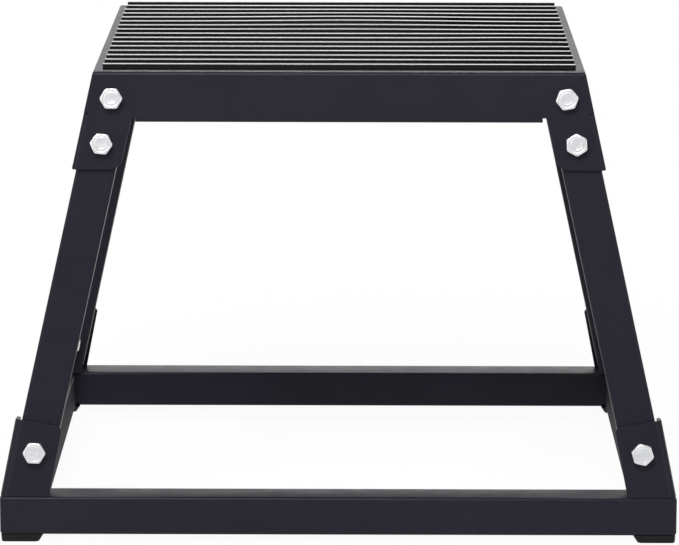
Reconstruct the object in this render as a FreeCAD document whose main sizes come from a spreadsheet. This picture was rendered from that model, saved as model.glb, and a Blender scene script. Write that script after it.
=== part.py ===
import FreeCAD, Part
import math
import os

# Plyo box: a folded steel deck with a ribbed rubber mat, four leaning square-tube legs bolted
# into the deck's corner ears and into angle brackets on a tube base frame, on four rubber feet.
# X runs to the right, Y to the rear, Z up; the floor is Z = 0 and the box is centred on X = Y = 0.

doc = FreeCAD.newDocument("plyo_box")
dims = doc.addObject("Spreadsheet::Sheet", "dims")

SIZES = (
    ("overall_height", 305, "floor to the top of the mat's ribs"),
    ("base_width", 437, "base frame, left to right"),
    ("base_depth", 390, "base frame, front to rear"),
    ("deck_width", 315.6, "deck top, left to right"),
    ("deck_depth", 316, "deck top, front to rear"),
    ("tube_side", 25, "square tube of the legs and of the frame"),
    ("tube_wall", 2, "wall of the square tube"),
    ("tube_radius", 2, "rounded corners of the square tube"),
    ("frame_chamfer", 2.5, "corners of the frame taken off, seen from above"),
    ("frame_inset", 0.8, "leaning planes of the box behind the frame's outer faces, where they meet it"),
    ("foot_height", 5, "rubber feet"),
    ("foot_side", 27.5, "feet, across the top"),
    ("foot_taper", 3.2, "inner sides of a foot draw in by this"),
    ("foot_draft", 0.4, "outer sides of a foot draw in by this"),
    ("foot_inset", 0.6, "feet behind the frame's outer faces"),
    ("foot_chamfer", 1.5, "corners of the feet taken off"),
    ("plate", 2.5, "sheet of the deck and plate of the brackets"),
    ("bend_radius", 3.5, "outside radius of the deck's folds"),
    ("apron_height", 32.7, "deck top to the underside of the apron's lip"),
    ("lip_depth", 12, "inward lip of the apron, from its inner face"),
    ("lip_relief", 3, "gap between an ear and the end of a lip"),
    ("relief_height", 2.6, "height of that gap"),
    ("lip_radius", 2, "rolled edge between apron and lip"),
    ("ear_drop", 30, "ears below the apron"),
    ("ear_width", 31.3, "ears, level across"),
    ("ear_radius", 7, "rounded inner corner of the ears"),
    ("slot_rise", 5.2, "top of the folded ears above the apron's underside"),
    ("slot_gap", 0.8, "slot between a side apron and the ear folded in below it"),
    ("leg_clearance", 0.3, "side of a leg to the side plate beside it"),
    ("bracket_width", 31.5, "brackets, level across"),
    ("bracket_inset", 0.3, "side plates of the brackets behind the frame's outer face, at their foot"),
    ("bracket_flare", 1, "tops of those side plates further out over the legs than their feet"),
    ("bracket_bend", 6, "outside radius of the brackets' folds"),
    ("bracket_height", 50, "brackets above the frame, at the outer corner"),
    ("bracket_chamfer", 2.4, "free upper corners of the brackets taken off"),
    ("bolt_diameter", 8, "bolt shanks"),
    ("bolt_length", 45, "bolts under the head"),
    ("head_flats", 13, "hexagons across flats"),
    ("head_height", 5.3, "bolt heads"),
    ("nut_height", 8, "nuts"),
    ("thread_gap", 0.05, "nut bore over the bolt, each side"),
    ("hole_gap", 0.3, "bolt holes over the bolt, each side"),
    ("upper_bolt_drop", 17.4, "upper deck bolts below the deck top"),
    ("lower_bolt_drop", 46.2, "lower deck bolts below the deck top"),
    ("base_bolt_rise", 28.3, "base bolts above the frame"),
    ("mat_width", 304, "rubber mat, left to right"),
    ("mat_depth", 304, "rubber mat, front to rear"),
    ("mat_front_margin", 9, "bare deck in front of the mat"),
    ("mat_sheet", 1, "mat between its ribs"),
    ("rib_height", 2, "ribs above the mat's sheet"),
    ("rib_width", 6, "ribs, front to rear"),
    ("rib_chamfer", 0.8, "eased top edges of the ribs"),
    ("rib_count", 16, "ribs on the mat"),
)

DERIVED = (
    ("rail_top", "=foot_height + tube_side"),
    ("deck_top", "=overall_height - mat_sheet - rib_height"),
    ("apron_bottom", "=deck_top - apron_height"),
    ("ear_bottom", "=apron_bottom - ear_drop"),
    ("ear_top", "=apron_bottom + slot_rise"),
    ("side_lean", "=(base_width / 2 - frame_inset - deck_width / 2) / (deck_top - rail_top)"),
    ("front_lean", "=(base_depth / 2 - frame_inset - deck_depth / 2) / (deck_top - rail_top)"),
    ("bracket_lean", "=side_lean - bracket_flare / bracket_height"),
    ("bracket_slope", "=(side_lean + front_lean) / 2"),
    ("side_stretch", "=sqrt(1 + side_lean * side_lean)"),
    ("front_stretch", "=sqrt(1 + front_lean * front_lean)"),
    ("bracket_stretch", "=sqrt(1 + bracket_lean * bracket_lean)"),
    ("rib_pitch", "=(mat_depth - rib_width) / (rib_count - 1)"),
)

for row, (alias, value, note) in enumerate(SIZES, 1):
    dims.set(f"A{row}", note)
    dims.set(f"B{row}", str(value))
    dims.setAlias(f"B{row}", alias)
for row, (alias, formula) in enumerate(DERIVED, len(SIZES) + 1):
    dims.set(f"B{row}", formula)
    dims.setAlias(f"B{row}", alias)
doc.recompute()

X_AXIS = FreeCAD.Vector(1, 0, 0)
Z_AXIS = FreeCAD.Vector(0, 0, 1)
BEYOND = 5  # how far a cutting shape runs past what it cuts
CORNERS = (
    ("front_left", -1, -1),
    ("front_right", 1, -1),
    ("rear_left", -1, 1),
    ("rear_right", 1, 1),
)


def size(alias):
    return float(dims.get(alias))


def bind(obj, **expressions):
    for prop, expression in expressions.items():
        obj.setExpression(prop, expression)


def half_x(z):
    """Distance of the leaning side plane from the middle at height z."""
    return f"(dims.deck_width / 2 + dims.side_lean * (dims.deck_top - ({z})))"


def half_y(z):
    """Distance of the leaning front or rear plane from the middle at height z."""
    return f"(dims.deck_depth / 2 + dims.front_lean * (dims.deck_top - ({z})))"


def inside_x(z, depth):
    """As half_x, moved in by a depth measured square to the plane."""
    return f"({half_x(z)} - ({depth}) * dims.side_stretch)"


def inside_y(z, depth):
    return f"({half_y(z)} - ({depth}) * dims.front_stretch)"


def span(sign, near, far):
    if sign > 0:
        return near, far
    return f"-({far})", f"-({near})"


def both(far):
    return f"-({far})", far


def new_body(name):
    body = doc.addObject("PartDesign::Body", name)
    body.Label = name
    return body


def wedge(body, kind, low_z, high_z, x_at, y_at):
    """A block with level rectangular sections; x_at and y_at give each section's span at a height."""
    block = body.newObject(f"PartDesign::{kind}Wedge", f"{body.Name}_{kind.lower()}")
    block.Placement = FreeCAD.Placement(FreeCAD.Vector(), FreeCAD.Rotation(X_AXIS, 90))
    low_x, low_y = x_at(low_z), y_at(low_z)
    high_x, high_y = x_at(high_z), y_at(high_z)
    bind(block, Ymin=low_z, Ymax=high_z)
    bind(block, Xmin=low_x[0], Xmax=low_x[1], X2min=high_x[0], X2max=high_x[1])
    bind(block, Zmin=f"-({low_y[1]})", Zmax=f"-({low_y[0]})")
    bind(block, Z2min=f"-({high_y[1]})", Z2max=f"-({high_y[0]})")
    doc.recompute()
    return block


def cuboid(body, kind, x, y, z):
    block = body.newObject(f"PartDesign::{kind}Box", f"{body.Name}_{kind.lower()}")
    bind(block, Length=f"({x[1]}) - ({x[0]})", Width=f"({y[1]}) - ({y[0]})", Height=f"({z[1]}) - ({z[0]})")
    for axis, reach in zip("xyz", (x, y, z)):
        block.setExpression(f"Placement.Base.{axis}", reach[0])
    doc.recompute()
    return block


def edge_names(feature, wanted):
    return [f"Edge{i}" for i, edge in enumerate(feature.Shape.Edges, 1) if wanted(edge)]


def ease(kind, body, base, wanted, **amount):
    names = edge_names(base, wanted)
    if not names:
        raise RuntimeError(f"no edge to ease on {base.Name}")
    eased = body.newObject(f"PartDesign::{kind}", f"{body.Name}_{kind.lower()}")
    eased.Base = (base, names)
    bind(eased, **amount)
    doc.recompute()
    return eased


def fillet(body, base, wanted, radius):
    return ease("Fillet", body, base, wanted, Radius=radius)


def chamfer(body, base, wanted, amount):
    return ease("Chamfer", body, base, wanted, Size=amount)


def rise(edge):
    heights = [vertex.Z for vertex in edge.Vertexes]
    return max(heights) - min(heights)


def reach(edge):
    """Level distance of an edge's middle from the box's axis, counted along X and Y."""
    middle = edge.CenterOfMass
    return abs(middle.x) + abs(middle.y)


def upright(shape):
    tall = 0.7 * shape.BoundBox.ZLength
    return lambda edge: rise(edge) > tall


def level_at(z):
    return lambda edge: rise(edge) < 1e-6 and abs(edge.CenterOfMass.z - z) < 1e-4


def across_plate(edge):
    """A straight edge through the thickness of a plate."""
    return isinstance(edge.Curve, Part.Line) and edge.Length < 1.2 * size("plate")


def leg_middle(z):
    return inside_x(z, "dims.plate + dims.leg_clearance + dims.tube_side / 2")


BOLT_ROWS = (
    ("deck_upper", "(dims.deck_top - dims.upper_bolt_drop)"),
    ("deck_lower", "(dims.deck_top - dims.lower_bolt_drop)"),
    ("base", "(dims.rail_top + dims.base_bolt_rise)"),
)
# How far each hexagon happened to be turned when it was tightened, corner by corner.
HEAD_TURNS = {
    "deck_upper": (0, -10, 12, 22),
    "deck_lower": (6, 28, -4, 15),
    "base": (2, 14, 20, -8),
}


def bolt_seat(obj, sx, sy, z, ahead="0"):
    """Puts an object on a bolt's axis, its Z pointing into the box, `ahead` past the outer plane."""
    into_y = f"({sy} * -({ahead}) / dims.front_stretch)"
    into_z = f"(-({ahead}) * dims.front_lean / dims.front_stretch)"
    obj.Placement = FreeCAD.Placement(FreeCAD.Vector(), FreeCAD.Rotation(X_AXIS, sy * 90))
    obj.setExpression("Placement.Base.x", f"{sx} * {leg_middle(z)}")
    obj.setExpression("Placement.Base.y", f"{sy} * {half_y(z)} + {into_y}")
    obj.setExpression("Placement.Base.z", f"{z} + {into_z}")
    obj.setExpression("Placement.Rotation.Angle", f"{sy} * (90 deg + atan(dims.front_lean))")


def drill(body, sx, sy, z):
    hole = body.newObject("PartDesign::SubtractiveCylinder", f"{body.Name}_hole")
    bind(hole, Radius="dims.bolt_diameter / 2 + dims.hole_gap", Height="dims.bolt_length + dims.tube_side")
    bolt_seat(hole, sx, sy, z, "-dims.tube_side / 2")
    doc.recompute()
    return hole


def make_leg(corner, sx, sy):
    body = new_body(f"leg_{corner}")
    far_x = "dims.plate + dims.leg_clearance"
    far_y = "dims.plate"
    low, high = "dims.rail_top", "(dims.deck_top - dims.plate)"

    def section(wall):
        def x_at(z):
            near = inside_x(z, f"{far_x} + dims.tube_side - {wall}")
            return span(sx, near, inside_x(z, f"{far_x} + {wall}"))

        def y_at(z):
            near = inside_y(z, f"{far_y} + dims.tube_side - {wall}")
            return span(sy, near, inside_y(z, f"{far_y} + {wall}"))
        return x_at, y_at

    outer = wedge(body, "Additive", low, high, *section("0"))
    fillet(body, outer, upright(outer.Shape), "dims.tube_radius")
    wedge(body, "Subtractive", f"{low} - {BEYOND}", f"{high} + {BEYOND}", *section("dims.tube_wall"))
    for _, z in BOLT_ROWS:
        drill(body, sx, sy, z)
    return body


def make_bracket(corner, sx, sy):
    body = new_body(f"base_bracket_{corner}")
    low = "dims.rail_top"
    top = "(dims.rail_top + dims.bracket_height)"

    def side(z):
        return f"(dims.base_width / 2 - dims.bracket_inset - dims.bracket_lean * (({z}) - dims.rail_top))"

    def outer_x(z):
        return span(sx, f"({side(z)} - dims.bracket_width)", side(z))

    def outer_y(z):
        return span(sy, f"({half_y(z)} - dims.bracket_width)", half_y(z))

    def inner_x(z):
        beyond = f"({side(z)} - dims.bracket_width - {BEYOND})"
        return span(sx, beyond, f"({side(z)} - dims.plate * dims.bracket_stretch)")

    def inner_y(z):
        return span(sy, f"({half_y(z)} - dims.bracket_width - {BEYOND})", inside_y(z, "dims.plate"))

    block = wedge(body, "Additive", low, f"{top} + 2 * {BEYOND}", outer_x, outer_y)
    outermost = max(reach(edge) for edge in block.Shape.Edges if rise(edge) > 1)
    fillet(body, block, lambda edge: rise(edge) > 1 and reach(edge) > outermost - 1, "dims.bracket_bend")
    wedge(body, "Subtractive", f"{low} - {BEYOND}", f"{top} + 4 * {BEYOND}", inner_x, inner_y)

    # The upper edges of both plates fall alike from the outer corner.
    axis = FreeCAD.Vector(-sx * size("bracket_slope"), -sy * size("bracket_slope"), 1)
    height = size("rail_top") + size("bracket_height")
    drop = size("deck_top") - height
    corner_point = FreeCAD.Vector(
        sx * (size("base_width") / 2 - size("bracket_inset") - size("bracket_lean") * size("bracket_height")),
        sy * (size("deck_depth") / 2 + size("front_lean") * drop),
        height,
    )
    cut = body.newObject("PartDesign::SubtractiveBox", f"{body.Name}_top_cut")
    bind(cut, Length="6 * dims.bracket_width", Width="6 * dims.bracket_width", Height="2 * dims.bracket_height")
    middle = FreeCAD.Vector(-3 * size("bracket_width"), -3 * size("bracket_width"), 0)
    sloped = FreeCAD.Placement(corner_point, FreeCAD.Rotation(Z_AXIS, axis))
    cut.Placement = sloped.multiply(FreeCAD.Placement(middle, FreeCAD.Rotation()))
    doc.recompute()

    halfway = size("rail_top") + size("bracket_height") / 2
    chamfer(body, cut, lambda edge: across_plate(edge) and edge.CenterOfMass.z > halfway, "dims.bracket_chamfer")
    drill(body, sx, sy, BOLT_ROWS[2][1])
    return body


def make_foot(corner, sx, sy):
    body = new_body(f"foot_{corner}")

    def section(whole, z):
        drawn = 1 if z == "0" else 0
        far = f"({whole} / 2 - dims.foot_inset - {drawn} * dims.foot_draft)"
        near = f"({whole} / 2 - dims.foot_inset - dims.foot_side + {drawn} * dims.foot_taper)"
        return near, far

    pad = wedge(
        body, "Additive", "0", "dims.foot_height",
        lambda z: span(sx, *section("dims.base_width", z)),
        lambda z: span(sy, *section("dims.base_depth", z)),
    )
    chamfer(body, pad, upright(pad.Shape), "dims.foot_chamfer")
    return body


def make_frame_rails():
    """The frame is one welded ring of tube, mitred at the corners into four rails."""
    ring = new_body("frame_ring")
    width, depth = "dims.base_width / 2", "dims.base_depth / 2"
    heights = ("dims.foot_height", "dims.rail_top")
    cuboid(ring, "Additive", both(width), both(depth), heights)
    opening = cuboid(
        ring, "Subtractive",
        both(f"({width} - dims.tube_side)"), both(f"({depth} - dims.tube_side)"),
        (f"dims.foot_height - {BEYOND}", f"dims.rail_top + {BEYOND}"),
    )
    fillet(ring, opening, lambda edge: rise(edge) < 1e-6, "dims.tube_radius")
    for _, sx, sy in CORNERS:
        turn = math.degrees(math.atan2(sy, sx))
        cut = ring.newObject("PartDesign::SubtractiveBox", "frame_corner_cut")
        bind(cut, Length="dims.tube_side", Width="2 * dims.tube_side", Height="2 * dims.tube_side")
        cut.Placement = FreeCAD.Placement(FreeCAD.Vector(), FreeCAD.Rotation(Z_AXIS, turn))
        aside = "dims.tube_side / sqrt(2)"
        cut.setExpression("Placement.Base.x", f"{sx} * ({width} - dims.frame_chamfer / 2) + {sy} * {aside}")
        cut.setExpression("Placement.Base.y", f"{sy} * ({depth} - dims.frame_chamfer / 2) - {sx} * {aside}")
        doc.recompute()

    def box(name, x, y, z):
        block = doc.addObject("Part::Box", name)
        bind(block, Length=f"2 * ({x})", Width=f"2 * ({y})", Height=f"({z[1]}) - ({z[0]})")
        block.setExpression("Placement.Base.x", f"-({x})")
        block.setExpression("Placement.Base.y", f"-({y})")
        block.setExpression("Placement.Base.z", z[0])
        return block

    bore = doc.addObject("Part::Cut", "frame_bore")
    bore.Base = box(
        "frame_bore_outside", f"{width} - dims.tube_wall", f"{depth} - dims.tube_wall",
        ("dims.foot_height + dims.tube_wall", "dims.rail_top - dims.tube_wall"),
    )
    bore.Tool = box(
        "frame_bore_inside",
        f"{width} - dims.tube_side + dims.tube_wall", f"{depth} - dims.tube_side + dims.tube_wall",
        ("dims.foot_height", "dims.rail_top"),
    )
    tube = doc.addObject("Part::Cut", "frame_tube")
    tube.Base = ring
    tube.Tool = bore

    rails = []
    sides = (
        ("front", 0, depth, width),
        ("right", 90, width, depth),
        ("rear", 180, depth, width),
        ("left", 270, width, depth),
    )
    for side, turn, out, along in sides:
        sector = doc.addObject("Part::Wedge", f"mitre_{side}")
        sector.Placement = FreeCAD.Placement(FreeCAD.Vector(), FreeCAD.Rotation(Z_AXIS, turn))
        past = f"(dims.tube_side + {BEYOND})"
        bind(sector, Ymin=f"-({out}) - {BEYOND}", Ymax=f"-({out}) + {past}")
        bind(sector, Xmin=f"-({along}) - {BEYOND}", Xmax=f"{along} + {BEYOND}")
        bind(sector, X2min=f"-({along}) + {past}", X2max=f"{along} - {past}")
        bind(sector, Zmin=f"dims.foot_height - {BEYOND}", Zmax=f"dims.rail_top + {BEYOND}")
        bind(sector, Z2min=f"dims.foot_height - {BEYOND}", Z2max=f"dims.rail_top + {BEYOND}")
        rail = doc.addObject("Part::Common", f"base_{side}_rail")
        rail.Label = f"base_{side}_rail"
        rail.Base = tube
        rail.Tool = sector
        rails.append(rail)
    doc.recompute()
    return rails


def make_deck():
    # The pan: top, four aprons and the lips turned in along their lower edges.
    pan = new_body("deck_top_and_aprons")
    low, high = "dims.apron_bottom", "dims.deck_top"
    block = wedge(pan, "Additive", low, high, lambda z: both(half_x(z)), lambda z: both(half_y(z)))
    top = fillet(pan, block, level_at(size("deck_top")), "dims.bend_radius")
    fillet(pan, top, level_at(size("apron_bottom")), "dims.lip_radius")
    wedge(
        pan, "Subtractive", f"{low} + dims.plate", f"{high} - dims.plate",
        lambda z: both(inside_x(z, "dims.plate")), lambda z: both(inside_y(z, "dims.plate")),
    )
    lip = "dims.plate + dims.lip_depth"
    cuboid(
        pan, "Subtractive",
        both(inside_x(low, lip)), both(inside_y(low, lip)),
        (f"{low} - {BEYOND}", f"{low} + {BEYOND}"),
    )
    # The legs and ears need the corners clear of lips, with a low relief beside each ear.
    clear = "(dims.ear_width + dims.lip_relief)"
    relief_top = f"({low} + dims.relief_height)"
    for _, sx, sy in CORNERS:
        for width, top in (("dims.ear_width", "dims.ear_top"), (clear, relief_top)):
            cuboid(
                pan, "Subtractive",
                span(sx, f"({half_x(low)} - {width})", f"({half_x(low)} + {BEYOND})"),
                span(sy, f"({half_y(low)} - {clear})", f"({half_y(low)} + {BEYOND})"),
                (f"{low} - {BEYOND}", top),
            )

    # The ears: the aprons carried down at each corner and folded round the leg.
    ears = new_body("deck_ears")
    low, high = "dims.ear_bottom", "dims.ear_top"
    block = wedge(ears, "Additive", low, high, lambda z: both(half_x(z)), lambda z: both(half_y(z)))
    fillet(ears, block, upright(block.Shape), "dims.bend_radius")
    past = (f"{low} - {BEYOND}", f"{high} + {BEYOND}")
    wedge(
        ears, "Subtractive", *past,
        lambda z: both(inside_x(z, "dims.plate")), lambda z: both(inside_y(z, "dims.plate")),
    )
    wedge(
        ears, "Subtractive", *past,
        lambda z: both(f"({half_x(z)} - dims.ear_width)"), lambda z: both(f"({half_y(z)} + {BEYOND})"),
    )
    window = wedge(
        ears, "Subtractive", *past,
        lambda z: both(f"({half_x(z)} + {BEYOND})"), lambda z: both(f"({half_y(z)} - dims.ear_width)"),
    )
    at_floor = level_at(size("ear_bottom"))
    fillet(ears, window, lambda edge: across_plate(edge) and at_floor(edge), "dims.ear_radius")

    fold = fuse("deck_fold", [pan, ears])

    cutters = []
    slot_low = "dims.ear_top"
    for corner, sx, sy in CORNERS:
        slot = doc.addObject("Part::Box", f"ear_slot_{corner}")
        x = span(sx, inside_x(slot_low, "dims.plate + 0.2"), f"({half_x(slot_low)} + {BEYOND})")
        into_relief = f"({half_y(slot_low)} - dims.ear_width - dims.lip_relief / 2)"
        y = span(sy, into_relief, f"({half_y(slot_low)} - dims.plate)")
        bind(slot, Length=f"({x[1]}) - ({x[0]})", Width=f"({y[1]}) - ({y[0]})", Height="dims.slot_gap")
        slot.setExpression("Placement.Base.x", x[0])
        slot.setExpression("Placement.Base.y", y[0])
        slot.setExpression("Placement.Base.z", slot_low)
        cutters.append(slot)
        for row, z in BOLT_ROWS[:2]:
            hole = doc.addObject("Part::Cylinder", f"{row}_hole_{corner}")
            bind(hole, Radius="dims.bolt_diameter / 2 + dims.hole_gap", Height="4 * dims.plate")
            bolt_seat(hole, sx, sy, z, "-dims.plate")
            cutters.append(hole)
    group = doc.addObject("Part::Compound", "deck_cutters")
    group.Links = cutters

    deck = doc.addObject("Part::Cut", "deck_pan")
    deck.Label = "deck_pan"
    deck.Base = fold
    deck.Tool = group
    doc.recompute()
    return deck


def make_mat():
    body = new_body("tread_mat")
    half = "dims.mat_width / 2"
    front = "(-dims.deck_depth / 2 + dims.mat_front_margin)"
    cuboid(
        body, "Additive", both(half), (front, f"({front} + dims.mat_depth)"),
        ("dims.deck_top", "(dims.deck_top + dims.mat_sheet)"),
    )
    rib = body.newObject("PartDesign::AdditiveBox", "rib")
    bind(rib, Length="dims.mat_width", Width="dims.rib_width", Height="dims.mat_sheet + dims.rib_height")
    rib.setExpression("Placement.Base.x", f"-({half})")
    rib.setExpression("Placement.Base.y", front)
    rib.setExpression("Placement.Base.z", "dims.deck_top")
    doc.recompute()
    ribs = body.newObject("PartDesign::LinearPattern", "ribs")
    ribs.Originals = [rib]
    ribs.Direction = (body.Origin.OriginFeatures[1], [""])
    body.Tip = ribs
    ribs.setExpression("Length", "dims.mat_depth - dims.rib_width")
    ribs.setExpression("Occurrences", "dims.rib_count")
    doc.recompute()
    top = level_at(size("overall_height"))
    along = 0.9 * size("mat_width")
    chamfer(body, ribs, lambda edge: top(edge) and edge.Length > along, "dims.rib_chamfer")
    return body


def turned_with(obj, guide, turn):
    obj.setExpression(
        "Placement",
        f"{guide.Name}.Placement * placement(vector(0; 0; 0); rotation(vector(0; 0; 1); {turn}))",
    )


def solid_on_axis(kind, name, place, ahead, **sizes):
    shape = doc.addObject(f"Part::{kind}", name)
    bind(shape, **sizes)
    bolt_seat(shape, *place, ahead)
    return shape


def hexagon(name, place, ahead, height, turn):
    """A hexagon on a bolt's axis, turned about it, with its hole or shank still to come."""
    guide = solid_on_axis("Cylinder", f"{name}_guide", place, ahead, Radius=SHANK, Height=height)
    prism = doc.addObject("Part::Prism", f"{name}_prism")
    prism.Polygon = 6
    bind(prism, Circumradius="dims.head_flats / sqrt(3)", Height=height)
    turned_with(prism, guide, turn)
    return prism


def fuse(name, shapes):
    whole = doc.addObject("Part::MultiFuse", name)
    whole.Shapes = shapes
    whole.Refine = True
    return whole


SHANK = "dims.bolt_diameter / 2"


def make_bolt(name, place, turn):
    head = hexagon(name, place, "-dims.head_height", "dims.head_height", turn)
    shank = solid_on_axis("Cylinder", f"{name}_shank", place, "0", Radius=SHANK, Height="dims.bolt_length")
    return fuse(name, [head, shank])


def make_nut(name, place, turn):
    seat = "(dims.plate + dims.tube_side)"
    nut = doc.addObject("Part::Cut", name)
    nut.Base = hexagon(name, place, seat, "dims.nut_height", turn)
    nut.Tool = solid_on_axis(
        "Cylinder", f"{name}_bore", place, "(dims.plate + dims.tube_side / 2)",
        Radius=f"{SHANK} + dims.thread_gap", Height="dims.bolt_length",
    )
    return nut


def make_fasteners():
    groups = []
    for row, z in BOLT_ROWS:
        for kind, make in (("bolt", make_bolt), ("nut", make_nut)):
            pieces = []
            for (corner, sx, sy), turn in zip(CORNERS, HEAD_TURNS[row]):
                pieces.append(make(f"{row}_{kind}_{corner}", (sx, sy, z), turn))
            group = doc.addObject("Part::Compound", f"{row}_{kind}s")
            group.Label = f"{row}_{kind}s"
            group.Links = pieces
            groups.append(group)
    doc.recompute()
    return groups


parts = [make_deck(), make_mat()]
parts += make_frame_rails()
for make in (make_leg, make_bracket, make_foot):
    parts += [make(corner, sx, sy) for corner, sx, sy in CORNERS]
parts += make_fasteners()
doc.recompute()

for obj in doc.Objects:
    if "Invalid" in obj.State or "Error" in obj.State:
        raise RuntimeError(f"{obj.Label}: {obj.State}")
os.makedirs("parts", exist_ok=True)
for part in parts:
    if part.Shape.isNull() or not part.Shape.isValid():
        raise RuntimeError(f"{part.Label}: bad shape")
    wanted = 4 if part.TypeId == "Part::Compound" else 1
    if len(part.Shape.Solids) != wanted:
        raise RuntimeError(f"{part.Label}: {len(part.Shape.Solids)} solids")
    part.Shape.exportStep(f"parts/{part.Label}.step")
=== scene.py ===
import math

import bmesh
import bpy
from mathutils import Matrix, Vector


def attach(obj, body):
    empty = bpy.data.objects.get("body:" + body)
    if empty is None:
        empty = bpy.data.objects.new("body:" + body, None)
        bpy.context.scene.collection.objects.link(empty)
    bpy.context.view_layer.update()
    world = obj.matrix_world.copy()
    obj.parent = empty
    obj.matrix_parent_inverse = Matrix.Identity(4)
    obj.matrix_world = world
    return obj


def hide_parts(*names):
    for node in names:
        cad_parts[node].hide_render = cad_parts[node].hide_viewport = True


# Looks of the plyo box: satin powder coat on the folded deck, tubes and brackets, a ribbed rubber mat,
# rubber feet, and zinc-plated bolts and nuts. Shapes are written in millimetres in the CAD frame
# and become metres as each piece is made.

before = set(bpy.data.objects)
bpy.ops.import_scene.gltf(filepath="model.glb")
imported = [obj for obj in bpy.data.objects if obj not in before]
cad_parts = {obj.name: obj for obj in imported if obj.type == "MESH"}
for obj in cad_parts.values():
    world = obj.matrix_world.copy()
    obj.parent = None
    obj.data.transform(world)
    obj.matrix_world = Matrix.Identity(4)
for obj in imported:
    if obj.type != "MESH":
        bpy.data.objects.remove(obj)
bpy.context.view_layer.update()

MM = 0.001
DECK_TOP = 302
RAIL_TOP = 30
DECK_X, DECK_Y = 157.8, 158
BASE_X, BASE_Y = 218.5, 195
FRAME_INSET = 0.8
SIDE_LEAN = (BASE_X - FRAME_INSET - DECK_X) / (DECK_TOP - RAIL_TOP)
FRONT_LEAN = (BASE_Y - FRAME_INSET - DECK_Y) / (DECK_TOP - RAIL_TOP)
PLATE = 2.5
TUBE = 25
LEG_CLEARANCE = 0.3
CORNERS = {
    "front_left": (-1, -1),
    "front_right": (1, -1),
    "rear_left": (-1, 1),
    "rear_right": (1, 1),
}


# Camera, fitted to the photograph: pixels, radians and millimetres

FOCAL_PX, IMAGE_WIDTH = 4176.2, 679
YAW, PITCH, ROLL = -0.00419, 0.19885, 0.0016
CAMERA_STAND = (-0.21, -2804.98, 704.10)


def make_camera():
    data = bpy.data.cameras.new("camera")
    data.sensor_width = 36
    data.lens = FOCAL_PX / IMAGE_WIDTH * data.sensor_width
    data.clip_end = 50
    camera = bpy.data.objects.new("camera", data)
    bpy.context.scene.collection.objects.link(camera)
    right = Vector((1, 0, 0))
    up = Vector((0, math.sin(PITCH), math.cos(PITCH)))
    back = right.cross(up)
    rolled_right = math.cos(ROLL) * right + math.sin(ROLL) * up
    rolled_up = math.cos(ROLL) * up - math.sin(ROLL) * right
    axes = Matrix((rolled_right, rolled_up, back)).transposed().to_4x4()
    stand = Matrix.Translation(Vector(CAMERA_STAND) * MM)
    camera.matrix_world = Matrix.Rotation(-YAW, 4, "Z") @ stand @ axes
    bpy.context.scene.camera = camera


# Node materials

NOISE_SPAN = (0.3, 0.7)  # most of a noise texture's values lie in here
EDGE_ON_SPAN = (0.85, 0.92)  # Layer Weight's facing value where a surface is seen almost along itself


class Nodes:
    """A material's node tree, with short calls to add nodes and join them."""

    def __init__(self, name):
        self.material = bpy.data.materials.new(name)
        self.material.use_nodes = True
        self.tree = self.material.node_tree
        self.shader = self.tree.nodes["Principled BSDF"]

    def add(self, kind, settings=None, **inputs):
        node = self.tree.nodes.new(f"ShaderNode{kind}")
        for key, value in (settings or {}).items():
            setattr(node, key, value)
        for key, value in inputs.items():
            self.set(node, key.replace("_", " "), value)
        return node

    def set(self, node, key, value):
        if isinstance(value, bpy.types.NodeSocket):
            self.tree.links.new(value, node.inputs[key])
        else:
            node.inputs[key].default_value = value

    def surface(self, **inputs):
        for key, value in inputs.items():
            self.set(self.shader, key.replace("_", " "), value)

    def noise(self, scale, detail=2.0, stretch=(1, 1, 1)):
        coords = self.add("TexCoord").outputs["Object"]
        place = self.add("Mapping", Vector=coords, Scale=stretch).outputs["Vector"]
        return self.add("TexNoise", Vector=place, Scale=scale, Detail=detail).outputs["Fac"]

    def between(self, fac, low, high, span=NOISE_SPAN):
        """A number that runs from low to high while fac crosses the span."""
        node = self.add("MapRange", Value=fac, From_Min=span[0], From_Max=span[1], To_Min=low, To_Max=high)
        return node.outputs["Result"]

    def tint(self, fac, low, high):
        """A colour that runs from low to high with a noise."""
        ramp = self.add("ValToRGB", Fac=fac)
        for stop, position, colour in zip(ramp.color_ramp.elements, NOISE_SPAN, (low, high)):
            stop.position = position
            stop.color = (*colour, 1)
        return ramp.outputs["Color"]

    def bump(self, height, distance, strength=1.0, normal=None):
        node = self.add("Bump", Height=height, Distance=distance, Strength=strength)
        if normal is not None:
            self.set(node, "Normal", normal)
        return node.outputs["Normal"]


def powder_coat(name, edge_on):
    """Satin coat; edge_on is its roughness where it is seen almost along its surface."""
    m = Nodes(name)
    cloud = m.noise(14, 3)
    peel = m.noise(620, 2)
    grain = m.noise(2600, 1)
    satin = m.between(m.noise(90, 3), 0.35, 0.42)
    facing = m.add("LayerWeight", Blend=0.5).outputs["Facing"]
    m.surface(
        Base_Color=m.tint(cloud, (0.0108, 0.0094, 0.0158), (0.0128, 0.0112, 0.0184)),
        Roughness=m.between(facing, satin, edge_on, EDGE_ON_SPAN),
        Specular_IOR_Level=0.13,
        Normal=m.bump(grain, 0.000012, 0.7, m.bump(peel, 0.00004, 0.6)),
    )
    return m.material


def mat_rubber():
    m = Nodes("ribbed_mat_rubber")
    streak = m.noise(60, 3, (0.08, 1, 1))
    grain = m.noise(1500, 2)
    m.surface(
        Base_Color=m.tint(streak, (0.0014, 0.0014, 0.0017), (0.0028, 0.0028, 0.0032)),
        Roughness=m.between(streak, 0.08, 0.14),
        Specular_IOR_Level=0.2,
        Normal=m.bump(grain, 0.000008, 0.12, m.bump(streak, 0.00006, 0.05)),
    )
    return m.material


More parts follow.
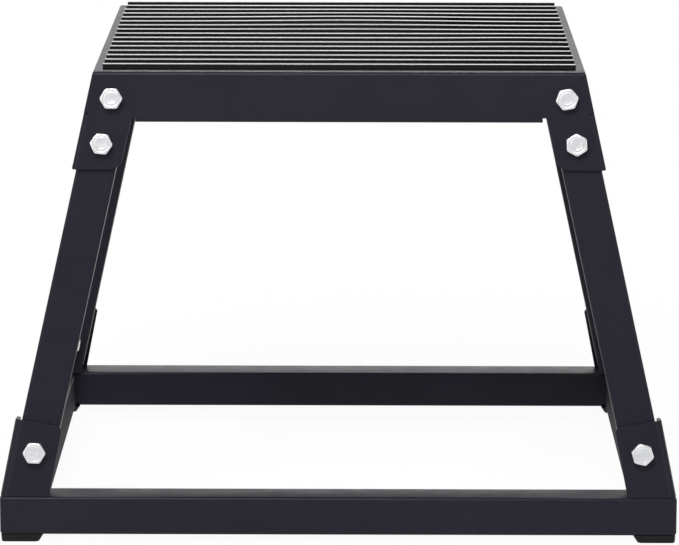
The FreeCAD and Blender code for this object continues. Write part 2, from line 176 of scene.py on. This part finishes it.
def foot_rubber():
    m = Nodes("matte_foot_rubber")
    cloud = m.noise(120, 3)
    pebble = m.noise(900, 3)
    m.surface(
        Base_Color=m.tint(cloud, (0.0018, 0.0018, 0.0020), (0.0032, 0.0032, 0.0034)),
        Roughness=m.between(pebble, 0.6, 0.78),
        Specular_IOR_Level=0.25,
        Normal=m.bump(pebble, 0.00012, 0.8),
    )
    return m.material


def zinc():
    m = Nodes("bright_zinc_plate")
    cloud = m.noise(260, 3)
    brushed = m.noise(1800, 2, (1, 1, 0.15))
    m.surface(
        Base_Color=m.tint(cloud, (0.68, 0.685, 0.705), (0.78, 0.785, 0.80)),
        Metallic=0.9,
        Roughness=m.between(brushed, 0.34, 0.46),
        Normal=m.bump(brushed, 0.00001, 0.5),
    )
    return m.material


# Pieces

SMOOTH_ANGLE = math.radians(35)
EASE_ANGLE = math.radians(40)
PLATE_EASE = 0.3
FOOT_EASE = 0.4


def piece(name, verts, faces, material, replaced):
    """A visible piece in place of a CAD node, shaded smooth up to an angle."""
    mesh = bpy.data.meshes.new(name)
    mesh.from_pydata([Vector(v) * MM for v in verts], [], faces)
    work = bmesh.new()
    work.from_mesh(mesh)
    bmesh.ops.remove_doubles(work, verts=work.verts, dist=1e-6)
    bmesh.ops.recalc_face_normals(work, faces=work.faces)
    for edge in work.edges:
        edge.smooth = len(edge.link_faces) == 2 and edge.calc_face_angle(math.pi) < SMOOTH_ANGLE
    for face in work.faces:
        face.smooth = True
    work.to_mesh(mesh)
    work.free()
    obj = bpy.data.objects.new(name, mesh)
    bpy.context.scene.collection.objects.link(obj)
    mesh.materials.append(material)
    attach(obj, "root")
    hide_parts(replaced)
    return obj


def ease_edges(obj, width):
    """A narrow rounding along every sharp edge."""
    bevel = obj.modifiers.new("eased_edges", "BEVEL")
    bevel.width = width * MM
    bevel.segments = 2
    bevel.limit_method = "ANGLE"
    bevel.angle_limit = EASE_ANGLE
    normals = obj.modifiers.new("normals", "WEIGHTED_NORMAL")
    normals.keep_sharp = False
    return bevel


def skin(rings, closed=False):
    """Faces between rings of equally many points; open ends are capped."""
    count = len(rings[0])
    verts = [point for ring in rings for point in ring]
    faces = []
    pairs = len(rings) if closed else len(rings) - 1
    for k in range(pairs):
        low, high = k * count, (k + 1) % len(rings) * count
        for i in range(count):
            j = (i + 1) % count
            faces.append((low + i, low + j, high + j, high + i))
    if not closed:
        faces.append(tuple(range(count)))
        faces.append(tuple(range(len(verts) - count, len(verts))))
    return verts, faces


def half_width(z):
    """Distance of the leaning side planes from the middle at a height."""
    return DECK_X + SIDE_LEAN * (DECK_TOP - z)


def half_depth(z):
    """Distance of the leaning front and rear planes from the middle at a height."""
    return DECK_Y + FRONT_LEAN * (DECK_TOP - z)


def quarter(steps):
    """Angles of a quarter turn in equal steps."""
    return [math.pi / 2 * k / steps for k in range(steps + 1)]


# Folded plates

class Sheet:
    """Outer skin of a folded plate; corners that coincide are one point."""

    def __init__(self):
        self.points = {}
        self.faces = []

    def face(self, corners):
        polygon = []
        for corner in corners:
            key = tuple(round(value, 3) for value in corner)
            index = self.points.setdefault(key, len(self.points))
            if index not in polygon:
                polygon.append(index)
        self.faces.append(polygon)

    def strip(self, lines):
        """Faces between lines of equally many points."""
        for near, far in zip(lines, lines[1:]):
            for i in range(len(near) - 1):
                self.face((near[i], near[i + 1], far[i + 1], far[i]))

    def make(self, name, material, replaced):
        """The plate as a piece: thickened inwards, with eased edges."""
        obj = piece(name, list(self.points), self.faces, material, replaced)
        # The skin has to face away from the middle of the box, so that it thickens inwards.
        middle = Vector((0, 0, DECK_TOP / 2)) * MM
        largest = max(obj.data.polygons, key=lambda polygon: polygon.area)
        if largest.normal.dot(largest.center - middle) < 0:
            obj.data.flip_normals()
        thicken = obj.modifiers.new("plate", "SOLIDIFY")
        thicken.thickness = PLATE * MM
        thicken.offset = -1
        thicken.use_even_offset = True
        thicken.use_quality_normals = True
        ease_edges(obj, PLATE_EASE).use_clamp_overlap = False


DECK_FOLD = 2.6
EASE_RADIUS = 8
EASE_TURN = math.radians(22)
EASE_SAG = (EASE_RADIUS - DECK_FOLD) * (1 - math.cos(EASE_TURN))
# Depths of the rows across the folds, below the deck's top.
FOLD_DROPS = (0, 0.04, 0.15, 0.33, 0.58, 0.79, 1.06, 1.39, 1.77, 2.05, 2.3, 2.65)
LIP_FOLD = 2.6
EAR_FOLD = 3.5
FOLD_STEPS = 6
APRON_BOTTOM = DECK_TOP - 32.7
LIP_DEPTH = 12
EAR_WIDTH = 31.3
EAR_ROUND = 7
EAR_BOTTOM = APRON_BOTTOM - 30
EAR_TOP = APRON_BOTTOM + 5.5
SLIT = 0.4
SLOT_TOP = EAR_TOP + SLIT
RELIEF_TOP = APRON_BOTTOM + 3.2
RELIEF_WIDTH = 3


def fold_start(half, lean):
    """Where the deck's level top ends and its fold towards a leaning apron begins."""
    return half - DECK_FOLD * math.tan(math.pi / 4 - math.atan(lean) / 2)


def turned(drop, radius):
    """How far out an arc has come where it has dropped this much below its level start."""
    return math.sqrt(drop * (2 * radius - drop))


def side_out(z):
    """Half width of the deck's outside at a height: folded, then leaning."""
    drop = DECK_TOP - z
    if drop < DECK_FOLD * (1 - math.sin(math.atan(SIDE_LEAN))):
        return fold_start(DECK_X, SIDE_LEAN) + turned(drop, DECK_FOLD)
    return half_width(z)


def front_out(z):
    """Half depth of the deck's outside at a height: turning gently, then folded, then leaning."""
    drop = DECK_TOP - z
    centre = fold_start(DECK_Y, FRONT_LEAN) + FRONT_LEAN * EASE_SAG
    if drop < EASE_RADIUS * (1 - math.cos(EASE_TURN)):
        return centre - (EASE_RADIUS - DECK_FOLD) * math.sin(EASE_TURN) + turned(drop, EASE_RADIUS)
    if drop - EASE_SAG < DECK_FOLD * (1 - math.sin(math.atan(FRONT_LEAN))):
        return centre + turned(drop - EASE_SAG, DECK_FOLD)
    return half_depth(z)


def apron_lip(half, lean):
    """The apron's lower fold and its lip, as (distance from the middle, height)."""
    tilt = math.atan(lean)
    turn = math.pi / 2 + tilt
    z = APRON_BOTTOM + LIP_FOLD * math.tan(turn / 2) * math.cos(tilt)
    centre = half + lean * (DECK_TOP - z) - LIP_FOLD * math.cos(tilt)
    centre_z = z - LIP_FOLD * math.sin(tilt)
    rows = []
    for k in range(FOLD_STEPS + 1):
        a = tilt - turn * k / FOLD_STEPS
        rows.append((centre + LIP_FOLD * math.cos(a), centre_z + LIP_FOLD * math.sin(a)))
    rows.append((half + lean * (DECK_TOP - APRON_BOTTOM) - PLATE - LIP_DEPTH, APRON_BOTTOM))
    return rows


def fold_levels():
    """Heights of the rows from the deck's top down to the slits over the ears."""
    return [DECK_TOP - drop for drop in FOLD_DROPS] + [SLOT_TOP]


def mirrored(values):
    """Places on both sides of the middle, in one run from one side to the other."""
    return [-value for value in values] + list(reversed(values))


def front_columns(z):
    """Half of the columns of the front or rear apron at a height, from the corner inwards."""
    inward = (EAR_FOLD, EAR_WIDTH - EAR_ROUND, EAR_WIDTH, EAR_WIDTH + RELIEF_WIDTH)
    return [side_out(z)] + [half_width(z) - c for c in inward]


def side_columns(z):
    """Half of the columns of a side apron at a height, from the corner inwards."""
    inward = (EAR_WIDTH + SLIT, EAR_WIDTH + RELIEF_WIDTH)
    return [front_out(z)] + [half_depth(z) - d for d in inward]


def ear_plate(sheet, place, levels):
    """One flat of an ear down to its lower edge, with the inner corner rounded."""
    inner, rounding = EAR_WIDTH - EAR_ROUND, EAR_BOTTOM + EAR_ROUND
    sheet.strip([[place(c, z) for c in (EAR_FOLD, inner, EAR_WIDTH)] for z in (*levels, rounding)])
    sheet.strip([[place(c, z) for c in (EAR_FOLD, inner)] for z in (rounding, EAR_BOTTOM)])
    arc = [place(inner + EAR_ROUND * math.cos(a), rounding - EAR_ROUND * math.sin(a)) for a in quarter(8)]
    sheet.face([place(inner, rounding)] + arc)


def add_ear(sheet, sx, sy):
    """An ear round its leg: a flat under the front or rear apron, one at the side, and their fold."""
    def front(c, z):
        return sx * (half_width(z) - c), sy * half_depth(z), z

    def side(d, z):
        return sx * half_width(z), sy * (half_depth(z) - d), z

    ear_plate(sheet, front, (RELIEF_TOP,))
    ear_plate(sheet, side, (EAR_TOP, RELIEF_TOP))
    lines = []
    for z in (EAR_TOP, RELIEF_TOP, EAR_BOTTOM + EAR_ROUND, EAR_BOTTOM):
        x, y = half_width(z) - EAR_FOLD, half_depth(z) - EAR_FOLD
        arc = [(EAR_FOLD * math.sin(a), EAR_FOLD * math.cos(a)) for a in quarter(FOLD_STEPS)]
        lines.append([(sx * (x + u), sy * (y + v), z) for u, v in arc])
    sheet.strip(lines)


def add_front(sheet, sy):
    """Front or rear apron: its fold, its flat with the ears' upper parts, and its lip."""
    def row(z, trim):
        return [(x, sy * front_out(z), z) for x in mirrored(front_columns(z)[trim:])]

    sheet.strip([row(z, 0) for z in fold_levels()])
    sheet.strip([row(z, 1) for z in (SLOT_TOP, EAR_TOP, RELIEF_TOP)])
    lip = [(half_depth(RELIEF_TOP), RELIEF_TOP)] + apron_lip(DECK_Y, FRONT_LEAN)
    sheet.strip([[(x, sy * out, z) for x in mirrored(front_columns(z)[-1:])] for out, z in lip])


def add_side(sheet, sx):
    """Side apron: its fold, its flat cut clear of the ears, and its lip."""
    def row(z, trim):
        return [(sx * side_out(z), y, z) for y in mirrored(side_columns(z)[trim:])]

    sheet.strip([row(z, 0) for z in fold_levels()])
    sheet.strip([row(z, 1) for z in (SLOT_TOP, RELIEF_TOP)])
    rows = [(half_width(RELIEF_TOP), RELIEF_TOP)] + apron_lip(DECK_X, SIDE_LEAN)
    sheet.strip([[(sx * out, y, z) for y in mirrored(side_columns(z)[-1:])] for out, z in rows])


def make_deck(material):
    sheet = Sheet()
    x, y = side_out(DECK_TOP), front_out(DECK_TOP)
    across = mirrored(front_columns(DECK_TOP))
    along = mirrored(side_columns(DECK_TOP))
    outline = [(column, -y, DECK_TOP) for column in across]
    outline += [(x, row, DECK_TOP) for row in along]
    outline += [(column, y, DECK_TOP) for column in reversed(across)]
    outline += [(-x, row, DECK_TOP) for row in reversed(along)]
    sheet.face(outline)
    for sign in (-1, 1):
        add_front(sheet, sign)
        add_side(sheet, sign)
    for sx, sy in CORNERS.values():
        add_ear(sheet, sx, sy)
    sheet.make("folded_deck", material, "deck_pan")


BRACKET_HEIGHT = 50
BRACKET_FLARE = 1
BRACKET_FOOT = BASE_X - 0.3
BRACKET_LEAN = SIDE_LEAN - BRACKET_FLARE / BRACKET_HEIGHT
BRACKET_SLOPE = (SIDE_LEAN + FRONT_LEAN) / 2
BRACKET_WIDTH = 31.5
BRACKET_FOLD = 6
BRACKET_TOP = RAIL_TOP + BRACKET_HEIGHT
BRACKET_CHAMFER = 2.4


def bracket_top(c, d):
    """Height of the upper edge at a place c and d inwards of the outer corner."""
    return BRACKET_TOP - BRACKET_SLOPE * (c + d) / (1 + BRACKET_SLOPE * (BRACKET_LEAN + FRONT_LEAN))


def make_bracket(corner, material):
    sx, sy = CORNERS[corner]
    shoulder = BRACKET_WIDTH - BRACKET_CHAMFER
    run = [(BRACKET_WIDTH, 0), (shoulder, 0)]
    run += [(BRACKET_FOLD * (1 - math.sin(a)), BRACKET_FOLD * (1 - math.cos(a))) for a in quarter(8)]
    run += [(0, shoulder), (0, BRACKET_WIDTH)]
    upper, lower = [], []
    for c, d in run:
        top = bracket_top(c, d) - (BRACKET_CHAMFER if BRACKET_WIDTH in (c, d) else 0)
        for line, z in ((upper, top), (lower, RAIL_TOP)):
            side = BRACKET_FOOT - BRACKET_LEAN * (z - RAIL_TOP)
            line.append((sx * (side - c), sy * (half_depth(z) - d), z))
    sheet = Sheet()
    sheet.strip([upper, lower])
    sheet.make(f"corner_bracket_{corner}", material, f"base_bracket_{corner}")


# Base frame

TUBE_ROUND = 2
FRAME_ROUND = 2.5


def tube_section():
    """The rail's outline, as (depth behind the outer face, height)."""
    points = []
    middle_z = RAIL_TOP - TUBE / 2
    reach = TUBE / 2 - TUBE_ROUND
    for k, (u, v) in enumerate(((1, 1), (-1, 1), (-1, -1), (1, -1))):
        for a in quarter(5):
            turn = a + k * math.pi / 2
            points.append((
                TUBE / 2 + u * reach + TUBE_ROUND * math.cos(turn),
                middle_z + v * reach + TUBE_ROUND * math.sin(turn),
            ))
    return points


def make_rail(name, along_x, side, material):
    """A rail between its mitres, rounded where the frame's outer corner turns."""
    rings = []
    turns = [math.pi / 4 * k / 3 for k in range(4)]
    for end, stations in ((-1, turns[::-1]), (1, turns)):
        for a in stations:
            ring = []
            for depth, z in tube_section():
                inset = max(FRAME_ROUND, depth)
                rest = FRAME_ROUND - min(FRAME_ROUND, depth)
                long = rest * math.sin(a) - inset
                wide = rest * math.cos(a) - inset
                if along_x:
                    ring.append((end * (BASE_X + long), side * (BASE_Y + wide), z))
                else:
                    ring.append((side * (BASE_X + wide), end * (BASE_Y + long), z))
            rings.append(ring)
    verts, faces = skin(rings)
    piece(f"welded_{name}", verts, faces, material, f"base_{name}")


def make_frame(material):
    make_rail("front_rail", True, -1, material)
    make_rail("rear_rail", True, 1, material)
    make_rail("left_rail", False, -1, material)
    make_rail("right_rail", False, 1, material)


# Bolts and nuts

AROUND = 72
ANGLES = [2 * math.pi * i / AROUND for i in range(AROUND)]
HEAD_FLATS = 13
HEAD_CORNERS = 7.25
HEAD_HEIGHT = 5.3
NUT_HEIGHT = 8
FACE_RADIUS = 6.1
CHAMFER = math.tan(math.radians(28))
EDGE_DROP, EDGE_SHRINK = 0.1, 0.08
WASHER_RADIUS = 6.0
WASHER_EDGE = 0.1
WASHER_HEIGHT = 0.35
HEAD_FOOT = 0.4
FOOT_ROUND = 0.12
# Shallow rings pressed into the head's face, as (radius, depth).
DISH = ((5.2, 0), (5.0, 0.08), (4.7, 0.1), (4.5, 0.04), (3.2, 0.04), (3.0, 0.1), (2.8, 0.12), (0.3, 0.12))
BOLT_LENGTH = 45
SHANK_RADIUS = 4
SHANK_END = 20
THREAD_START = 24
THREAD_PITCH = 1.25
THREAD_DEPTH = 0.7
THREAD_ROOT, THREAD_FLANK = 0.12, 0.72
THREAD_STEPS = 6
TIP_CHAMFER = 1.0
TIP_MIDDLE = 0.4
NUT_BORE = 4.05
SEAT_MOUTH, SEAT_SINK = 4.6, 0.5
OUTER_MOUTH, OUTER_SINK = 4.7, 0.6


def hexagon_radius(angle):
    within = (angle % (math.pi / 3)) - math.pi / 6
    return min(HEAD_CORNERS, HEAD_FLATS / 2 / math.cos(within))


def circle(radius, z):
    return [(radius * math.cos(a), radius * math.sin(a), z) for a in ANGLES]


def hexagon_ring(z_at, shrink=0.0):
    points = []
    for a in ANGLES:
        r = hexagon_radius(a) - shrink
        points.append((r * math.cos(a), r * math.sin(a), z_at(r)))
    return points


def bolt_head():
    """Head above its seat at z = 0, top towards -z: washer face, hexagon, chamfer, and a dished top."""
    def chamfered(r):
        return max(0.0, r - FACE_RADIUS) * CHAMFER - HEAD_HEIGHT

    rings = [circle(SHANK_RADIUS, 0), circle(WASHER_RADIUS - WASHER_EDGE, 0)]
    rings.append(circle(WASHER_RADIUS, -WASHER_HEIGHT))
    rings.append(hexagon_ring(lambda r: -HEAD_FOOT, FOOT_ROUND))
    rings.append(hexagon_ring(lambda r: -HEAD_FOOT - FOOT_ROUND))
    rings.append(hexagon_ring(lambda r: chamfered(r) + EDGE_DROP))
    rings.append(hexagon_ring(chamfered, EDGE_SHRINK))
    rings.append(circle(FACE_RADIUS, -HEAD_HEIGHT))
    rings += [circle(radius, depth - HEAD_HEIGHT) for radius, depth in DISH]
    return rings


def thread_radius(angle, z):
    """Radius of the threaded shank at an angle and height, tapering at the tip."""
    turn = (z / THREAD_PITCH - angle / (2 * math.pi)) % 1.0
    tooth = abs(2 * turn - 1)
    crest = min(1.0, max(0.0, (tooth - THREAD_ROOT) / THREAD_FLANK))
    radius = SHANK_RADIUS - THREAD_DEPTH * (1 - crest)
    return min(radius, SHANK_RADIUS - TIP_CHAMFER + (BOLT_LENGTH - z))


def bolt(place):
    """Rings of a bolt from the middle of its face to its tip."""
    rings = bolt_head()[::-1]
    rings.append(circle(SHANK_RADIUS, SHANK_END))
    count = round((BOLT_LENGTH - THREAD_START) / THREAD_PITCH * THREAD_STEPS)
    for k in range(count + 1):
        z = THREAD_START + (BOLT_LENGTH - THREAD_START) * k / count
        radii = [thread_radius(a, z) for a in ANGLES]
        rings.append([(r * math.cos(a), r * math.sin(a), z) for r, a in zip(radii, ANGLES)])
    rings.append(circle(TIP_MIDDLE, BOLT_LENGTH))
    return [[place @ Vector(p) for p in ring] for ring in rings]


def nut(place):
    """Rings of a nut round its section: seat, chamfered hexagon, outer face and bore."""
    def lower(r):
        return max(0.0, r - FACE_RADIUS) * CHAMFER

    def upper(r):
        return NUT_HEIGHT - lower(r)

    rings = [circle(SEAT_MOUTH, 0), circle(FACE_RADIUS, 0)]
    rings.append(hexagon_ring(lower, EDGE_SHRINK))
    rings.append(hexagon_ring(lambda r: lower(r) + EDGE_DROP))
    rings.append(hexagon_ring(lambda r: upper(r) - EDGE_DROP))
    rings.append(hexagon_ring(upper, EDGE_SHRINK))
    rings += [circle(FACE_RADIUS, NUT_HEIGHT), circle(OUTER_MOUTH, NUT_HEIGHT)]
    rings += [circle(NUT_BORE, NUT_HEIGHT - OUTER_SINK), circle(NUT_BORE, SEAT_SINK)]
    seat = place @ Matrix.Translation((0, 0, PLATE + TUBE))
    return [[seat @ Vector(p) for p in ring] for ring in rings]


def bolt_place(sx, sy, z, turn):
    """Seat of a bolt's head on the leaning front or rear plane, its Z pointing into the box."""
    from_side = PLATE + LEG_CLEARANCE + TUBE / 2
    x = half_width(z) - from_side * math.sqrt(1 + SIDE_LEAN ** 2)
    tilt = Matrix.Rotation(sy * (math.pi / 2 + math.atan(FRONT_LEAN)), 4, "X")
    twist = Matrix.Rotation(math.radians(turn), 4, "Z")
    return Matrix.Translation((sx * x, sy * half_depth(z), z)) @ tilt @ twist


# Rows of bolts: name, height, and how far the hexagons are turned, corner by corner.
BOLT_ROWS = (
    ("deck_upper", DECK_TOP - 17.4, (0, -10, 12, 22)),
    ("deck_lower", DECK_TOP - 46.2, (6, 28, -4, 15)),
    ("base", RAIL_TOP + 28.3, (2, 14, 20, -8)),
)


def make_fasteners(material):
    for row, z, turns in BOLT_ROWS:
        for kind, make, closed in (("bolt", bolt, False), ("nut", nut, True)):
            verts, faces = [], []
            for (sx, sy), turn in zip(CORNERS.values(), turns):
                points, polygons = skin(make(bolt_place(sx, sy, z, turn)), closed)
                faces += [tuple(i + len(verts) for i in polygon) for polygon in polygons]
                verts += points
            piece(f"{row}_{kind}_set", verts, faces, material, f"{row}_{kind}s")


# Mat

MAT_HALF = 152
MAT_FRONT = -149
MAT_DEPTH = 304
MAT_SHEET = 1
RIB_HEIGHT = 2
RIB_WIDTH = 6
RIB_ROUND = 0.3
RIB_CROWN = 0.06
ROOT_ROUND, ROOT_MIDDLE = 0.5, 0.15
RIBS = 16
MAT_COLUMNS = 48


def rib_section():
    """The mat's upper outline from front to rear, as (y, height above the deck)."""
    pitch = (MAT_DEPTH - RIB_WIDTH) / (RIBS - 1)
    top = MAT_SHEET + RIB_HEIGHT - RIB_CROWN
    outline = []
    for k in range(RIBS):
        front = MAT_FRONT + k * pitch
        rear = front + RIB_WIDTH
        if k > 0:
            outline += [(front - ROOT_ROUND, MAT_SHEET), (front - ROOT_MIDDLE, MAT_SHEET + ROOT_MIDDLE)]
        outline.append((front, MAT_SHEET + (ROOT_ROUND if k else -MAT_SHEET)))
        for a in quarter(4):
            outline.append((front + RIB_ROUND * (1 - math.cos(a)), top - RIB_ROUND * (1 - math.sin(a))))
        for share in (0.25, 0.5, 0.75):
            y = front + RIB_ROUND + (RIB_WIDTH - 2 * RIB_ROUND) * share
            outline.append((y, top + RIB_CROWN * (1 - (2 * share - 1) ** 2)))
        for a in reversed(quarter(4)):
            outline.append((rear - RIB_ROUND * (1 - math.cos(a)), top - RIB_ROUND * (1 - math.sin(a))))
        outline.append((rear, MAT_SHEET + (ROOT_ROUND if k < RIBS - 1 else -MAT_SHEET)))
        if k < RIBS - 1:
            outline += [(rear + ROOT_MIDDLE, MAT_SHEET + ROOT_MIDDLE), (rear + ROOT_ROUND, MAT_SHEET)]
    return outline


# Places where the glued mat has lifted a little: x, y, spread in x and in y, height.
BLISTERS = (
    (10, 60, 75, 42, 0.9),
    (118, -35, 40, 30, 0.4),
)


def lift(x, y):
    total = 0.0
    for cx, cy, wide, deep, high in BLISTERS:
        total += high * math.exp(-((x - cx) / wide) ** 2 - ((y - cy) / deep) ** 2)
    return total


def make_mat(material):
    outline = rib_section()
    rings = []
    for i in range(MAT_COLUMNS + 1):
        x = MAT_HALF * (2 * i / MAT_COLUMNS - 1)
        upper = [(x, y, DECK_TOP + h + (lift(x, y) if h > 0 else 0.0)) for y, h in outline]
        lower = [(x, MAT_FRONT + MAT_DEPTH, DECK_TOP), (x, MAT_FRONT, DECK_TOP)]
        rings.append(upper[1:-1] + lower)
    verts, faces = skin(rings)
    piece("ribbed_mat", verts, faces, material, "tread_mat")


# Legs and feet, which keep their CAD shape

def soften(obj, width):
    """Eases the edges of a plain CAD piece, once its triangles are joined into flats."""
    weld = obj.modifiers.new("weld", "WELD")
    weld.merge_threshold = 1e-6
    flats = obj.modifiers.new("flats", "DECIMATE")
    flats.decimate_type = "DISSOLVE"
    flats.angle_limit = math.radians(1)
    ease_edges(obj, width)


def dress_cad(coat, feet):
    for name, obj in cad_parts.items():
        if obj.hide_render:
            continue
        obj.data.materials.clear()
        if name.startswith("foot_"):
            obj.data.materials.append(feet)
            soften(obj, FOOT_EASE)
        else:
            obj.data.materials.append(coat)


# Studio

# Grey of the surroundings, as (upward part of the direction, grey).
HORIZON = (0.4, 0.40)
OVERHEAD = (0.68, 0.15)
FLOOR_REACH = 14.0
FLOOR_GLOW = 0.94


def make_world():
    """Light grey near the horizon, darker overhead."""
    world = bpy.data.worlds.new("studio")
    bpy.context.scene.world = world
    world.use_nodes = True
    tree = world.node_tree
    direction = tree.nodes.new("ShaderNodeTexCoord").outputs["Generated"]
    split = tree.nodes.new("ShaderNodeSeparateXYZ")
    tree.links.new(direction, split.inputs["Vector"])
    ramp = tree.nodes.new("ShaderNodeValToRGB")
    tree.links.new(split.outputs["Z"], ramp.inputs["Fac"])
    for stop, (position, grey) in zip(ramp.color_ramp.elements, (HORIZON, OVERHEAD)):
        stop.position = position
        stop.color = (grey, grey, grey, 1)
    tree.links.new(ramp.outputs["Color"], tree.nodes["Background"].inputs["Color"])


def pale_floor():
    """Almost white to the camera and in reflections, and a pale matte floor to other light."""
    m = Nodes("pale_floor")
    m.surface(Base_Color=(0.86, 0.86, 0.86, 1), Roughness=0.9)
    path = m.add("LightPath")
    seen = path.outputs["Is Camera Ray"]
    for kind in ("Is Glossy Ray", "Is Transmission Ray"):
        either = m.add("Math", {"operation": "MAXIMUM"})
        m.set(either, 0, seen)
        m.set(either, 1, path.outputs[kind])
        seen = either.outputs[0]
    share = m.add("Math", {"operation": "MULTIPLY"})
    m.set(share, 0, seen)
    m.set(share, 1, FLOOR_GLOW)
    mix = m.add("MixShader", Fac=share.outputs[0])
    m.set(mix, 1, m.shader.outputs["BSDF"])
    m.set(mix, 2, m.add("Emission").outputs["Emission"])
    m.set(m.tree.nodes["Material Output"], "Surface", mix.outputs["Shader"])
    return m.material


def make_floor():
    mesh = bpy.data.meshes.new("floor")
    corners = [(x * FLOOR_REACH, y * FLOOR_REACH, 0) for x, y in ((-1, -1), (1, -1), (1, 1), (-1, 1))]
    mesh.from_pydata(corners, [], [(0, 1, 2, 3)])
    mesh.materials.append(pale_floor())
    floor = bpy.data.objects.new("floor", mesh)
    bpy.context.scene.collection.objects.link(floor)


def softbox(name, place, aim, width, height, power):
    data = bpy.data.lights.new(name, "AREA")
    data.shape = "RECTANGLE"
    data.size = width
    data.size_y = height
    data.energy = power
    lamp = bpy.data.objects.new(name, data)
    bpy.context.scene.collection.objects.link(lamp)
    lamp.location = place
    lamp.rotation_euler = (Vector(aim) - Vector(place)).to_track_quat("-Z", "Y").to_euler()


def make_lights():
    """A front key, a low and a high band behind for the level surfaces, and a strip at each side."""
    softbox("key", (-0.5, -2.2, 2.4), (0, 0, 0.2), 1.5, 1.5, 96)
    softbox("rear", (0, 7.0, 1.2), (0, 0, 0.3), 7.5, 0.8, 47)
    softbox("rear_high", (0, 3.0, 2.9), (0, 0, 0.3), 3.0, 0.5, 90)
    softbox("left", (-2.6, -1.9, 0.9), (0, 0, 0.2), 0.3, 1.6, 16)
    softbox("right", (2.6, -1.9, 0.9), (0, 0, 0.2), 0.3, 1.6, 16)


make_camera()
coat = powder_coat("satin_powder_coat", 0.4)
make_deck(coat)
for corner in CORNERS:
    make_bracket(corner, coat)
make_frame(powder_coat("frame_powder_coat", 0.7))
make_fasteners(zinc())
make_mat(mat_rubber())
dress_cad(coat, foot_rubber())
make_world()
make_floor()
make_lights()
bpy.context.scene.view_settings.view_transform = "Standard"
